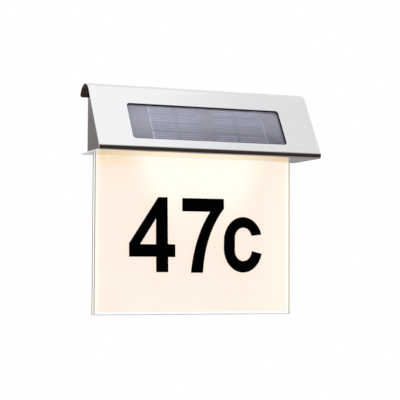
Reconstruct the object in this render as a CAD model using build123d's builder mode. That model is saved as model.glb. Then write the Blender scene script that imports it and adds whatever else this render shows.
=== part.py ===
"""Solar house-number light: a folded steel hood, a moulded housing and an edge-lit acrylic plate.

Millimetres. +Z is up, the wall is the plane Y = 0 and the light faces -Y.
The origin lies on the wall, midway between the two keyholes that hang the light.
"""

import os
from math import asin, atan2, cos, degrees, hypot, sin, tan

from build123d import *

os.makedirs("parts", exist_ok=True)

# ---------------------------------------------------------------- driving sizes
# hood: one folded sheet of stainless steel
hood_width = 205.0
hood_depth = 58.0  # from the wall to the front fold
hood_height = 61.0  # from the underside to the top of the roll
sheet = 1.0
front_bend_r = 3.0  # outside radius of the fold between slope and flange
roll_r = 14.5  # outside radius of the roll along the top
lip_rise = 50.5  # lower edge of the roll, above the underside
lip_corner_r = 2.0
flange_gap = 4.8  # from the flange's rear edge to the wall
flange_corner_r = 0.8
keyhole_rise = 30.0  # keyholes above the underside

# window in the slope, measured up the slope from the front fold
window_rim = 4.0  # of the module behind the sheet, all round
window_rise = 26.6
window_corner_r = 2.5

# solar module behind the window
module_inset = 20.0  # from the housing's sides
module_height = 45.0
module_fit = 0.3
gasket_thickness = 0.6
cover_skin = 0.8  # clear layer over the cells
cell_thickness = 0.25
board_thickness = 1.6
cell_rows = 4
cell_block_width = 105.0
cell_row_pitch = 9.1
cell_row_gap = 0.8
cell_middle_gap = 14.0

# light plate
plate_width = 185.0
plate_drop = 138.0  # below the underside
plate_thickness = 8.0
plate_front = 15.5  # from the wall to the plate's front face
tongue_inset = 15.0  # from the housing's sides
tongue_height = 14.0  # above the underside
plate_edge = 0.4  # flame-polished edge
plate_screw_inset = 10.0  # from the tongue's ends
plate_screw_drop = 5.0  # below the tongue's top
plate_boss_r = 4.0
plate_boss_length = 11.0
film_thickness = 0.25
film_margin = 2.5  # at the plate's sides and foot
film_top_gap = 0.3
seal_width = 1.5

# housing and back cover
housing_width = 190.0
housing_height = 50.0  # above the underside
wall = 2.0
cover_thickness = 2.0
cover_fit = 0.4
ledge_width = 2.5
seat_gasket = 1.0
cover_screw_inset = 8.0  # from the housing's sides
cover_screw_rise = 9.0  # lower cover screws, above the underside
cover_screw_span = 33.0
boss_r = 3.5
boss_length = 14.0
post_r = 3.2

# keyholes
keyhole_inset = 20.0  # from the housing's sides
keyhole_r = 4.0
keyslot_width = 4.5
keyslot_rise = 8.0
cup_room = 2.0  # round a screw's head, behind the keyhole
cup_headroom = 0.5
cup_depth = 5.5
cup_wall = 1.5

# battery bay
cell_length = 50.5
cell_r = 7.25
cell_z = 2.0  # above the keyholes
cell_depth = 10.5  # from the wall to the cell's axis
sleeve_thickness = 0.15
nub_r = 2.75
nub_length = 1.0
well_height = 17.0
well_depth = 18.5
well_wall = 1.5
contact_thickness = 0.5
contact_width = 8.5
tag_width = 3.0
tag_inset = 2.5  # from the well's front wall to the tags' middle line
tag_reach = 2.5  # outside the well's end walls
leaf_half = 5.75
leaf_rise = 4.5  # from the well's end to the cell
door_thickness = 2.0
door_width = 82.0
door_height = 21.0
door_gap = 0.3
door_gasket_thickness = 0.4
door_travel_clearance = 0.4
door_lip_depth = 1.5
door_lip_wall = 1.2
door_corner_r = 1.6
door_screw_x = 36.5
door_screw_length = 7.5
door_boss_depth = 11.0  # from the wall plane

# lighting
led_count = 4
led_pitch = 30.0
led_width = 3.5
led_length = 2.8
led_height = 1.4
led_dish_depth = 0.3
led_gap = 1.0
led_board_width = 9.0
led_board_inset = 33.0  # from the housing's sides
led_screw_inset = 12.0  # from the board's ends
led_screw_offset = 9.0  # in front of the board's middle line
led_screw_length = 7.0

# control board
control_inset = 39.5  # from the housing's side
control_z = 2.0
control_width = 21.0
control_height = 22.0
control_clearance = 0.4  # in front of the door's bosses
control_screw_inset = 2.3
chip_size = 5.0
chip_thickness = 1.5
chip_place = (-3.0, -4.5)  # places on the board are from its middle
choke_place = (-5.7, 5.0)
capacitor_places = [(7.3, -3.7), (7.3, 4.0)]
battery_pad = -6.5  # along the board, from its middle
led_pads = (1.5, 5.0)
switch_pad = 7.0
led_pad_drop = 7.0
choke_r = 2.5
choke_core_r = 2.0
choke_flange = 1.0
choke_length = 4.5
capacitor_r = 1.6
capacitor_length = 5.0

# slide switch
switch_gap = 0.3  # beside the door's seat
switch_z = 2.0
switch_width = 14.0
switch_height = 8.0
switch_depth = 6.0
switch_travel = 3.0
knob_width = 3.6
knob_height = 3.2
slider_gap = 0.3
knob_recess = 0.4  # knob's tip behind the wall plane
knob_groove = 0.4
foot_width = 6.0
foot_height = 5.0
foot_thickness = 1.6
terminal_x = 3.0
terminal_tip = 2.0
rib_thickness = 1.4
hook_reach = 0.8

# screws
screw_r = 1.5
head_r = 2.8
head_height = 1.8
cross_length = 1.1  # of a head's radius
cross_width = 0.25  # of a head's radius
head_crown = 0.8  # of a head's radius
small_screw_r = 1.0
small_head_r = 1.9
small_head_height = 1.3
stud_length = 8.0
stud_inset = 11.0  # from the housing's sides
stud_rises = (12.0, 46.0)
washer_thickness = 0.6
nut_thickness = 2.4
nut_across_flats = 5.5
hole_clearance = 0.2  # a screw in a plain hole, all round
thread_fit = 0.05  # a screw in what it threads into, all round
round_sides = 16  # screws and other small hidden rounds are drawn with flat sides

# leads
lead_r = 0.6
lead_sides = 6
lead_bend_r = 1.8
lead_hole_r = 2.5
lead_spread = 2.0  # half the distance between a pair at the module
solar_lead_rise = 45.0
solar_lead_run = 7.0
led_lead_offset = 3.5  # in front of the board's middle line

# ---------------------------------------------------------------- derived places
underside_z = -keyhole_rise
floor_z = underside_z + sheet
floor_top_z = floor_z + wall
lip_z = underside_z + lip_rise
housing_top_z = underside_z + housing_height
plate_mid_y = -plate_front + plate_thickness / 2

module_width = housing_width - 2 * module_inset
window_width = module_width - 2 * window_rim
window_height = module_height - 2 * window_rim
tongue_width = housing_width - 2 * tongue_inset
stud_x = housing_width / 2 - stud_inset
cover_screw_x = housing_width / 2 - cover_screw_inset
led_board_length = housing_width - 2 * led_board_inset
led_screw_x = led_board_length / 2 - led_screw_inset
keyhole_x = housing_width / 2 - keyhole_inset
well_length = cell_length + leaf_rise + 2 * contact_thickness
recess_width = door_width + 2 * door_travel_clearance
recess_height = door_height + 2 * door_travel_clearance
control_x = housing_width / 2 - control_inset
control_back = door_boss_depth + control_clearance
control_front = control_back + board_thickness
switch_x = -recess_width / 2 - wall - switch_gap - switch_width / 2

bend_y = -hood_depth + front_bend_r
bend_z = underside_z + front_bend_r
roll_y = -roll_r
roll_z = underside_z + hood_height - roll_r
centre_span = hypot(roll_y - bend_y, roll_z - bend_z)
slope = atan2(roll_y - bend_y, roll_z - bend_z) - asin((roll_r - front_bend_r) / centre_span)
slope_normal = 180 - degrees(slope)
slope_y = bend_y - front_bend_r * cos(slope)
slope_z = bend_z + front_bend_r * sin(slope)

# the outside of the slope: X along the hood, Y up the slope, Z outwards
slope_plane = Plane(
    origin=(0, slope_y, slope_z),
    x_dir=(1, 0, 0),
    z_dir=(0, -cos(slope), sin(slope)),
)

module_thickness = board_thickness + cell_thickness + cover_skin
pocket_depth = gasket_thickness + module_thickness
gasket_plane = slope_plane.offset(-sheet)
cover_plane = gasket_plane.offset(-gasket_thickness)
cell_plane = cover_plane.offset(-cover_skin)
board_plane = cell_plane.offset(-cell_thickness)
stud_places = [(side * stud_x, rise) for side in (-1, 1) for rise in stud_rises]


def small_round(radius):
    """A small round section with flat sides."""
    RegularPolygon(radius, round_sides)


def slope_y_at(height, depth):
    """Y of the plane that lies a depth under the slope's outside, at a height."""
    return slope_y + (height - slope_z) * tan(slope) + depth / cos(slope)


def trace_sheet(depth):
    """Trace flange, fold, slope and roll at a depth under the outside of the sheet."""
    lip_angle = degrees(asin((lip_z - roll_z) / roll_r))
    fold_r = front_bend_r - depth
    fold = CenterArc((bend_y, bend_z), fold_r, 270, slope_normal - 270)
    roll = CenterArc((roll_y, roll_z), roll_r - depth, slope_normal, lip_angle - slope_normal)
    flange = Line((-flange_gap, bend_z - fold_r), fold @ 0)
    Line(fold @ 1, roll @ 0)
    return flange @ 0, roll @ 1


# ---------------------------------------------------------------- hood
notch_clearance = 0.5
notch_width = tongue_width + 2 * notch_clearance
notch_front = plate_front + notch_clearance

with BuildPart() as hood:
    with BuildSketch(Plane.YZ):
        with BuildLine():
            outer_ends = trace_sheet(0)
            inner_ends = trace_sheet(sheet)
            Line(outer_ends[0], inner_ends[0])
            Line(outer_ends[1], inner_ends[1])
        make_face()
    extrude(amount=hood_width / 2, both=True)
    # window for the module
    with BuildSketch(slope_plane):
        with Locations((0, window_rise)):
            RectangleRounded(window_width, window_height, window_corner_r)
    extrude(amount=-sheet, mode=Mode.SUBTRACT)
    # notch in the flange for the plate's tongue
    with BuildSketch(Plane.XY.offset(underside_z)):
        with Locations((0, -notch_front / 2)):
            Rectangle(notch_width, notch_front)
    extrude(amount=sheet, mode=Mode.SUBTRACT)
    # rounded corners of the lip and of the flange
    end_corners = hood.edges().filter_by(lambda edge: abs(edge.length - sheet) < 0.01)
    end_corners = end_corners.filter_by(lambda edge: abs(abs(edge.center().X) - hood_width / 2) < 0.01)
    fillet(end_corners.filter_by(lambda edge: edge.center().Z > 0), lip_corner_r)
    fillet(end_corners.filter_by(lambda edge: edge.center().Z < 0), flange_corner_r)
    # studs welded to the inside of the slope
    with BuildSketch(gasket_plane):
        with Locations(*stud_places):
            small_round(screw_r)
    extrude(amount=-stud_length)

# ---------------------------------------------------------------- housing
slot_width = tongue_width + 2 * seal_width
slot_depth = plate_thickness + 2 * seal_width
inner_half_width = housing_width / 2 - wall
ledge_back = cover_thickness + seat_gasket
rear_height = housing_top_z - wall - floor_top_z
rear_z = floor_top_z + rear_height / 2
plate_screw_x = tongue_width / 2 - plate_screw_inset
plate_screw_z = underside_z + tongue_height - plate_screw_drop
plate_screw_places = [(-plate_screw_x, plate_screw_z), (plate_screw_x, plate_screw_z)]
led_board_z = underside_z + tongue_height + led_gap + led_height
led_post_y = plate_mid_y - led_screw_offset
led_ear_places = [(-led_screw_x, led_post_y), (led_screw_x, led_post_y)]
cover_screw_places = [
    (side * cover_screw_x, underside_z + cover_screw_rise + step)
    for side in (-1, 1)
    for step in (0, cover_screw_span)
]
web_length = inner_half_width - cover_screw_x
web_places = [(x + x / cover_screw_x * web_length / 2, z) for x, z in cover_screw_places]

with BuildPart() as housing:
    # shell that fills the hood from the wall to the slope
    with BuildSketch(Plane.YZ):
        with BuildLine():
            fold = CenterArc((bend_y, bend_z), front_bend_r - sheet, 270, slope_normal - 270)
            Polyline(
                fold @ 0,
                (0, floor_z),
                (0, housing_top_z),
                (slope_y_at(housing_top_z, sheet), housing_top_z),
                fold @ 1,
            )
        make_face()
    extrude(amount=housing_width / 2, both=True)
    with BuildSketch(Plane.YZ):
        with BuildLine():
            Polyline(
                (0, floor_top_z),
                (0, housing_top_z - wall),
                (slope_y_at(housing_top_z - wall, sheet + wall), housing_top_z - wall),
                (slope_y_at(floor_top_z, sheet + wall), floor_top_z),
                close=True,
            )
        make_face()
    extrude(amount=inner_half_width, both=True, mode=Mode.SUBTRACT)
    # tray that holds the solar module against the window
    with BuildSketch(gasket_plane):
        with Locations((0, window_rise)):
            Rectangle(module_width + 2 * (module_fit + wall), module_height + 2 * (module_fit + wall))
    extrude(amount=-pocket_depth - wall)
    with BuildSketch(gasket_plane):
        with Locations((0, window_rise)):
            Rectangle(module_width + 2 * module_fit, module_height + 2 * module_fit)
    extrude(amount=-pocket_depth, mode=Mode.SUBTRACT)
    with BuildSketch(gasket_plane.offset(-pocket_depth)):
        with Locations((control_x, solar_lead_rise)):
            SlotOverall(4 * lead_hole_r, 2 * lead_hole_r)
    extrude(amount=-wall, mode=Mode.SUBTRACT)
    # holes for the hood's studs
    with BuildSketch(gasket_plane):
        with Locations(*stud_places):
            small_round(screw_r + hole_clearance)
    extrude(amount=-wall, mode=Mode.SUBTRACT)
    # ledge for the cover's gasket
    with BuildSketch(Plane.XZ.offset(ledge_back)):
        with Locations((0, rear_z)):
            Rectangle(2 * inner_half_width, rear_height)
            Rectangle(
                2 * (inner_half_width - ledge_width),
                rear_height - 2 * ledge_width,
                mode=Mode.SUBTRACT,
            )
    extrude(amount=wall)
    # bosses for the cover screws, each tied to its end wall by a web
    with BuildSketch(Plane.XZ.offset(cover_thickness)):
        with Locations(*cover_screw_places):
            Circle(boss_r)
    extrude(amount=boss_length)
    with BuildSketch(Plane.XZ.offset(ledge_back)):
        with Locations(*web_places):
            Rectangle(web_length, wall)
    extrude(amount=boss_length - seat_gasket)
    with BuildSketch(Plane.XZ.offset(cover_thickness)):
        with Locations(*cover_screw_places):
            small_round(screw_r + thread_fit)
    extrude(amount=boss_length - wall, mode=Mode.SUBTRACT)
    # bosses in front of the plate's tongue
    with BuildSketch(Plane.XZ.offset(plate_front)):
        with Locations(*plate_screw_places):
            Circle(plate_boss_r)
    extrude(amount=plate_boss_length)
    with BuildSketch(Plane.XZ.offset(plate_front + wall)):
        for side in (-1, 1):
            with Locations((side * plate_screw_x, (floor_top_z + plate_screw_z) / 2)):
                Rectangle(2 * wall, plate_screw_z - floor_top_z)
    extrude(amount=plate_boss_length - wall)
    with BuildSketch(Plane.XZ.offset(plate_front)):
        with Locations(*plate_screw_places):
            small_round(screw_r + thread_fit)
    extrude(amount=plate_boss_length - wall, mode=Mode.SUBTRACT)
    # posts under the LED board
    with BuildSketch(Plane.XY.offset(floor_top_z)):
        with Locations(*led_ear_places):
            Circle(post_r)
    extrude(amount=led_board_z - floor_top_z)
    with BuildSketch(Plane.XY.offset(floor_top_z)):
        with Locations(*led_ear_places):
            small_round(small_screw_r + thread_fit)
    extrude(amount=led_board_z - floor_top_z, mode=Mode.SUBTRACT)
    # slot in the floor for the tongue and its seal
    with BuildSketch(Plane.XY.offset(floor_z)):
        with Locations((0, plate_mid_y)):
            Rectangle(slot_width, slot_depth)
    extrude(amount=wall, mode=Mode.SUBTRACT)

# ---------------------------------------------------------------- solar module
with BuildPart() as window_gasket:
    with BuildSketch(gasket_plane):
        with Locations((0, window_rise)):
            Rectangle(module_width, module_height)
            RectangleRounded(window_width, window_height, window_corner_r, mode=Mode.SUBTRACT)
    extrude(amount=-gasket_thickness)

cell_width = (cell_block_width - cell_middle_gap) / 2
cell_height = cell_row_pitch - cell_row_gap
cell_places = [
    (side * (cell_middle_gap + cell_width) / 2, window_rise + (row - (cell_rows - 1) / 2) * cell_row_pitch)
    for side in (-1, 1)
    for row in range(cell_rows)
]

with BuildPart() as solar_cells:
    with BuildSketch(cell_plane):
        with Locations(*cell_places):
            Rectangle(cell_width, cell_height)
    extrude(amount=-cell_thickness)

with BuildPart() as module_cover:
    with BuildSketch(cover_plane):
        with Locations((0, window_rise)):
            Rectangle(module_width, module_height)
    extrude(amount=-cover_skin - cell_thickness)
    with BuildSketch(cell_plane):
        with Locations(*cell_places):
            Rectangle(cell_width, cell_height)
    extrude(amount=-cell_thickness, mode=Mode.SUBTRACT)

with BuildPart() as module_board:
    with BuildSketch(board_plane):
        with Locations((0, window_rise)):
            Rectangle(module_width, module_height)
    extrude(amount=-board_thickness)

# ---------------------------------------------------------------- light plate
plate_bottom_z = underside_z - plate_drop
plate_hole_r = screw_r + hole_clearance

with BuildPart() as light_plate:
    with BuildSketch(Plane.XZ.offset(plate_front - plate_thickness)):
        with Locations((0, (plate_bottom_z + underside_z) / 2)):
            Rectangle(plate_width, plate_drop)
        with Locations((0, underside_z + tongue_height / 2)):
            Rectangle(tongue_width, tongue_height)
    extrude(amount=plate_thickness)
    with BuildSketch(Plane.XZ.offset(plate_front - plate_thickness)):
        with Locations(*plate_screw_places):
            small_round(plate_hole_r)
    extrude(amount=plate_thickness, mode=Mode.SUBTRACT)
    rim = light_plate.faces().filter_by(Axis.Y).sort_by(Axis.Y)
    rim_edges = (rim[0].outer_wire().edges() + rim[-1].outer_wire().edges()).filter_by(
        lambda edge: edge.center().Z < underside_z - plate_edge
    )
    chamfer(rim_edges, plate_edge)

with BuildPart() as reflector_film:
    with BuildSketch(Plane.XZ.offset(plate_front - plate_thickness - film_thickness)):
        film_height = plate_drop - film_margin - film_top_gap
        with Locations((0, plate_bottom_z + film_margin + film_height / 2)):
            Rectangle(plate_width - 2 * film_margin, film_height)
    extrude(amount=film_thickness)

with BuildPart() as plate_seal:
    with BuildSketch(Plane.XY.offset(floor_z)):
        with Locations((0, plate_mid_y)):
            Rectangle(slot_width, slot_depth)
            Rectangle(tongue_width, plate_thickness, mode=Mode.SUBTRACT)
    extrude(amount=wall)

washer_back = plate_front - plate_thickness - washer_thickness

with BuildPart() as plate_washers:
    with BuildSketch(Plane.XZ.offset(washer_back)):
        with Locations(*plate_screw_places):
            small_round(head_r + washer_thickness)
    extrude(amount=washer_thickness)
    with BuildSketch(Plane.XZ.offset(washer_back)):
        with Locations(*plate_screw_places):
            small_round(plate_hole_r)
    extrude(amount=washer_thickness, mode=Mode.SUBTRACT)


def screws(places, shank_r, under_r, top_r, head_height, length):
    """Screws with a cross recess: each place lies under a head, its Z axis out of the head."""
    with BuildPart() as part:
        for place in places:
            under = Plane(place)
            top = under.offset(head_height)
            with BuildSketch(under):
                small_round(under_r)
            with BuildSketch(top):
                small_round(top_r)
            loft(ruled=True)
            with BuildSketch(under):
                small_round(shank_r)
            extrude(amount=-length)
            recess_r = max(under_r, top_r)
            with BuildSketch(top):
                Rectangle(cross_length * recess_r, cross_width * recess_r)
                Rectangle(cross_width * recess_r, cross_length * recess_r)
            extrude(amount=-head_height / 2, mode=Mode.SUBTRACT)
    return part


def towards_wall(x, depth, z):
    """A place at a depth in front of the wall, its Z axis towards the wall."""
    return Location((x, -depth, z), (-90, 0, 0))


def away_from_wall(x, depth, z):
    """A place at a depth in front of the wall, its Z axis away from the wall."""
    return Location((x, -depth, z), (90, 0, 0))


plate_screws = screws(
    [towards_wall(x, washer_back, z) for x, z in plate_screw_places],
    screw_r,
    head_r,
    head_crown * head_r,
    head_height,
    plate_thickness + washer_thickness + plate_boss_length - 2 * wall,
)

# ---------------------------------------------------------------- hood fixings
nut_depth = sheet + wall + washer_thickness

with BuildPart() as hood_washers:
    with BuildSketch(slope_plane.offset(-sheet - wall)):
        with Locations(*stud_places):
            small_round(nut_across_flats / 2 + washer_thickness)
    extrude(amount=-washer_thickness)
    with BuildSketch(slope_plane.offset(-sheet - wall)):
        with Locations(*stud_places):
            small_round(plate_hole_r)
    extrude(amount=-washer_thickness, mode=Mode.SUBTRACT)

with BuildPart() as hood_nuts:
    with BuildSketch(slope_plane.offset(-nut_depth)):
        with Locations(*stud_places):
            RegularPolygon(nut_across_flats / 2, 6, major_radius=False)
    extrude(amount=-nut_thickness)
    with BuildSketch(slope_plane.offset(-nut_depth)):
        with Locations(*stud_places):
            small_round(screw_r + thread_fit)
    extrude(amount=-nut_thickness, mode=Mode.SUBTRACT)

# ---------------------------------------------------------------- lighting
led_places = [((index - (led_count - 1) / 2) * led_pitch, plate_mid_y) for index in range(led_count)]

with BuildPart() as led_board:
    with BuildSketch(Plane.XY.offset(led_board_z)):
        with Locations((0, plate_mid_y)):
            Rectangle(led_board_length, led_board_width)
        with Locations(*[(x, (plate_mid_y + y) / 2) for x, y in led_ear_places]):
            Rectangle(2 * boss_r, led_screw_offset)
        with Locations(*led_ear_places):
            small_round(boss_r)
    extrude(amount=board_thickness)
    with BuildSketch(Plane.XY.offset(led_board_z)):
        with Locations(*led_ear_places):
            small_round(small_screw_r + hole_clearance)
    extrude(amount=board_thickness, mode=Mode.SUBTRACT)

with BuildPart() as leds:
    with BuildSketch(Plane.XY.offset(led_board_z)):
        with Locations(*led_places):
            Rectangle(led_width, led_length)
    extrude(amount=-led_height)
    with BuildSketch(Plane.XY.offset(led_board_z - led_height)):
        with Locations(*led_places):
            small_round(led_length / 2 - led_dish_depth)
    extrude(amount=led_dish_depth, mode=Mode.SUBTRACT)

led_board_top_z = led_board_z + board_thickness
led_board_screws = screws(
    [Location((x, y, led_board_top_z)) for x, y in led_ear_places],
    small_screw_r,
    small_head_r,
    head_crown * small_head_r,
    small_head_height,
    led_screw_length,
)

# ---------------------------------------------------------------- back cover
recess_depth = door_thickness + door_gasket_thickness + door_gap
pad_depth = recess_depth + wall
well_back = well_depth + well_wall
door_screw_places = [(-door_screw_x, cell_z), (door_screw_x, cell_z)]
keyhole_places = [(-keyhole_x, 0), (keyhole_x, 0)]
keyslot_places = [(x, z + keyslot_rise / 2) for x, z in keyhole_places]
cup_width = 2 * (keyhole_r + cup_room)
cup_height = 2 * (keyhole_r + cup_headroom) + keyslot_rise
control_post_places = [
    (
        control_x + side * (control_width / 2 - control_screw_inset),
        control_z + side * (control_height / 2 - control_screw_inset),
    )
    for side in (-1, 1)
]
switch_front = cover_thickness + switch_depth
tag_y = -well_depth + tag_inset

with BuildPart() as back_cover:
    with BuildSketch(Plane.XZ):
        with Locations((0, rear_z)):
            Rectangle(2 * (inner_half_width - cover_fit), rear_height - 2 * cover_fit)
    extrude(amount=cover_thickness)
    # seat of the battery door, and the well for the cell behind it
    with BuildSketch(Plane.XZ.offset(cover_thickness)):
        with Locations((0, cell_z)):
            Rectangle(recess_width + 2 * wall, recess_height + wall)
    extrude(amount=pad_depth - cover_thickness)
    with BuildSketch(Plane.XZ.offset(cover_thickness)):
        with Locations((0, cell_z)):
            Rectangle(well_length + 2 * well_wall, well_height + 2 * well_wall)
    extrude(amount=well_back - cover_thickness)
    with BuildSketch(Plane.XZ.offset(cover_thickness)):
        with Locations(*door_screw_places):
            small_round(post_r)
    extrude(amount=door_boss_depth - cover_thickness)
    # posts for the control board
    with BuildSketch(Plane.XZ.offset(cover_thickness)):
        with Locations(*control_post_places):
            small_round(small_head_r + hole_clearance)
    extrude(amount=control_back - cover_thickness)
    with BuildSketch(Plane.XZ.offset(pad_depth)):
        with Locations(*control_post_places):
            small_round(small_screw_r + thread_fit)
    extrude(amount=control_back - pad_depth, mode=Mode.SUBTRACT)
    # recess for the door, and the well's inside
    with BuildSketch(Plane.XZ):
        with Locations((0, cell_z)):
            RectangleRounded(recess_width, recess_height, door_corner_r + door_travel_clearance)
    extrude(amount=recess_depth, mode=Mode.SUBTRACT)
    with BuildSketch(Plane.XZ):
        with Locations((0, cell_z)):
            Rectangle(well_length, well_height)
    extrude(amount=well_depth, mode=Mode.SUBTRACT)
    with BuildSketch(Plane.XZ):
        with Locations(*door_screw_places):
            Circle(small_screw_r + door_gap)
    extrude(amount=door_boss_depth - well_wall, mode=Mode.SUBTRACT)
    # slots for the contact tags in the well's end walls
    with BuildSketch(Plane.YZ):
        with Locations((tag_y, cell_z)):
            Rectangle(tag_width + hole_clearance, contact_thickness + hole_clearance)
    extrude(amount=well_length / 2 + well_wall, both=True, mode=Mode.SUBTRACT)
    # keyholes with closed cups behind them
    with BuildSketch(Plane.XZ.offset(cover_thickness)):
        with Locations(*keyslot_places):
            Rectangle(cup_width + 2 * cup_wall, cup_height + 2 * cup_wall)
    extrude(amount=cup_depth + cup_wall)
    with BuildSketch(Plane.XZ.offset(cover_thickness)):
        with Locations(*keyslot_places):
            Rectangle(cup_width, cup_height)
    extrude(amount=cup_depth, mode=Mode.SUBTRACT)
    with BuildSketch(Plane.XZ):
        with Locations(*keyhole_places):
            Circle(keyhole_r)
        with Locations(*keyslot_places):
            Rectangle(keyslot_width, keyslot_rise)
        with Locations(*[(x, z + keyslot_rise) for x, z in keyhole_places]):
            Circle(keyslot_width / 2)
    extrude(amount=cover_thickness, mode=Mode.SUBTRACT)
    # snap ribs for the switch, and the slot for its knob
    with BuildSketch(Plane.XZ.offset(cover_thickness)):
        for side in (-1, 1):
            with Locations((switch_x, switch_z + side * (switch_height + rib_thickness) / 2)):
                Rectangle(switch_width / 2, rib_thickness)
    extrude(amount=switch_depth + rib_thickness)
    with BuildSketch(Plane.XZ.offset(switch_front)):
        for side in (-1, 1):
            with Locations((switch_x, switch_z + side * (switch_height - hook_reach) / 2)):
                Rectangle(switch_width / 2, hook_reach)
    extrude(amount=rib_thickness)
    with BuildSketch(Plane.XZ):
        with Locations((switch_x, switch_z)):
            Rectangle(
                knob_width + switch_travel + 2 * knob_recess,
                knob_height + 2 * knob_recess,
            )
    extrude(amount=cover_thickness, mode=Mode.SUBTRACT)
    # countersunk holes for the cover screws
    with Locations(*[towards_wall(x, 0, z) for x, z in cover_screw_places]):
        CounterSinkHole(screw_r + hole_clearance, head_r + hole_clearance, cover_thickness, 90)

sink_depth = head_r - screw_r
sink_back = knob_recess / 2 + sink_depth
cover_screws = screws(
    [towards_wall(x, sink_back, z) for x, z in cover_screw_places],
    screw_r,
    screw_r,
    head_r,
    sink_depth,
    boss_length - wall - sink_depth,
)

with BuildPart() as cover_gasket:
    with BuildSketch(Plane.XZ.offset(cover_thickness)):
        with Locations((0, rear_z)):
            Rectangle(2 * (inner_half_width - cover_fit), rear_height - 2 * cover_fit)
            Rectangle(
                2 * (inner_half_width - ledge_width),
                rear_height - 2 * ledge_width,
                mode=Mode.SUBTRACT,
            )
    extrude(amount=seat_gasket)

# ---------------------------------------------------------------- battery bay
nub_tip_x = well_length / 2 - contact_thickness
can_end_x = nub_tip_x - nub_length
can_start_x = nub_tip_x - cell_length
can_r = cell_r - sleeve_thickness
can_edge = 0.8
tag_tip_x = well_length / 2 + well_wall + tag_reach
contact_back = door_thickness + door_lip_depth + contact_thickness
contact_length = well_depth - contact_back
contact_y = -(well_depth + contact_back) / 2

with BuildPart() as battery_cell:
    with BuildSketch(Plane.YZ.offset(can_start_x)):
        with Locations((-cell_depth, cell_z)):
            Circle(can_r)
    extrude(amount=can_end_x - can_start_x)
    chamfer(battery_cell.edges().filter_by(GeomType.CIRCLE).sort_by(Axis.X)[-1], can_edge)
    with BuildSketch(Plane.YZ.offset(can_end_x)):
        with Locations((-cell_depth, cell_z)):
            Circle(nub_r)
    extrude(amount=nub_length)

with BuildPart() as battery_sleeve:
    with BuildSketch(Plane.YZ.offset(can_start_x)):
        with Locations((-cell_depth, cell_z)):
            Circle(cell_r)
            Circle(can_r, mode=Mode.SUBTRACT)
    extrude(amount=can_end_x - can_start_x - can_edge)

with BuildPart() as positive_contact:
    with BuildSketch(Plane.YZ.offset(nub_tip_x)):
        with Locations((contact_y, cell_z)):
            Rectangle(contact_length, contact_width)
    extrude(amount=contact_thickness)
    with BuildSketch(Plane.XY.offset(cell_z)):
        with Locations(((nub_tip_x + tag_tip_x) / 2, tag_y)):
            Rectangle(tag_tip_x - nub_tip_x, tag_width)
    extrude(amount=contact_thickness / 2, both=True)

with BuildPart() as negative_contact:
    with BuildSketch(Plane.YZ.offset(-nub_tip_x)):
        with Locations((contact_y, cell_z)):
            Rectangle(contact_length, contact_width)
    extrude(amount=-contact_thickness)
    with BuildSketch(Plane.XY.offset(cell_z)):
        with BuildLine():
            front = -cell_depth - leaf_half
            back = -cell_depth + leaf_half
            ThreePointArc((-nub_tip_x, front), (can_start_x, -cell_depth), (-nub_tip_x, back))
            ThreePointArc(
                (-nub_tip_x, front + contact_thickness),
                (can_start_x - contact_thickness, -cell_depth),
                (-nub_tip_x, back - contact_thickness),
            )
            Line((-nub_tip_x, front), (-nub_tip_x, front + contact_thickness))
            Line((-nub_tip_x, back), (-nub_tip_x, back - contact_thickness))
        make_face()
    extrude(amount=contact_width * 0.4, both=True)
    with BuildSketch(Plane.XY.offset(cell_z)):
        with Locations((-(nub_tip_x + tag_tip_x) / 2, tag_y)):
            Rectangle(tag_tip_x - nub_tip_x, tag_width)
    extrude(amount=contact_thickness / 2, both=True)

door_lip_length = well_length - 2 * door_travel_clearance
door_lip_height = well_height - 2 * door_travel_clearance
door_head_depth = small_head_height + knob_recess / 2

with BuildPart() as battery_door:
    with BuildSketch(Plane.XZ):
        with Locations((0, cell_z)):
            RectangleRounded(door_width, door_height, door_corner_r)
    extrude(amount=door_thickness)
    with BuildSketch(Plane.XZ.offset(door_thickness)):
        with Locations((0, cell_z)):
            Rectangle(door_lip_length, door_lip_height)
            Rectangle(
                door_lip_length - 2 * door_lip_wall,
                door_lip_height - 2 * door_lip_wall,
                mode=Mode.SUBTRACT,
            )
    extrude(amount=door_lip_depth)
    with BuildSketch(Plane.XZ):
        with Locations(*door_screw_places):
            Circle(small_head_r + hole_clearance)
    extrude(amount=door_head_depth, mode=Mode.SUBTRACT)
    with BuildSketch(Plane.XZ):
        with Locations(*door_screw_places):
            small_round(small_screw_r + thread_fit)
    extrude(amount=door_thickness, mode=Mode.SUBTRACT)

with BuildPart() as door_gasket:
    with BuildSketch(Plane.XZ.offset(door_thickness)):
        with Locations((0, cell_z)):
            Rectangle(well_length + 2 * door_corner_r, door_height - 2 * door_travel_clearance)
            Rectangle(door_lip_length, door_lip_height, mode=Mode.SUBTRACT)
    extrude(amount=door_gasket_thickness)

door_screws = screws(
    [towards_wall(x, door_head_depth, z) for x, z in door_screw_places],
    small_screw_r,
    small_head_r,
    head_crown * small_head_r,
    small_head_height,
    door_screw_length,
)

# ---------------------------------------------------------------- switch
slider_x = switch_x - switch_travel / 2
groove_x = knob_width / 4
groove_depth = 1.5 * knob_groove

with BuildPart() as switch_body:
    with BuildSketch(Plane.XZ.offset(cover_thickness)):
        with Locations((switch_x, switch_z)):
            Rectangle(switch_width, switch_height)
    extrude(amount=switch_depth)
    with BuildSketch(Plane.XZ.offset(cover_thickness)):
        with Locations((switch_x, switch_z)):
            Rectangle(
                foot_width + switch_travel + 2 * slider_gap,
                foot_height + 2 * slider_gap,
            )
    extrude(amount=foot_thickness + 2 * slider_gap, mode=Mode.SUBTRACT)

with BuildPart() as switch_terminals:
    with BuildSketch(Plane.XZ.offset(switch_front)):
        with Locations((switch_x - terminal_x, switch_z), (switch_x + terminal_x, switch_z)):
            Rectangle(contact_thickness, 2 * lead_r)
    extrude(amount=terminal_tip)

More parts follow.
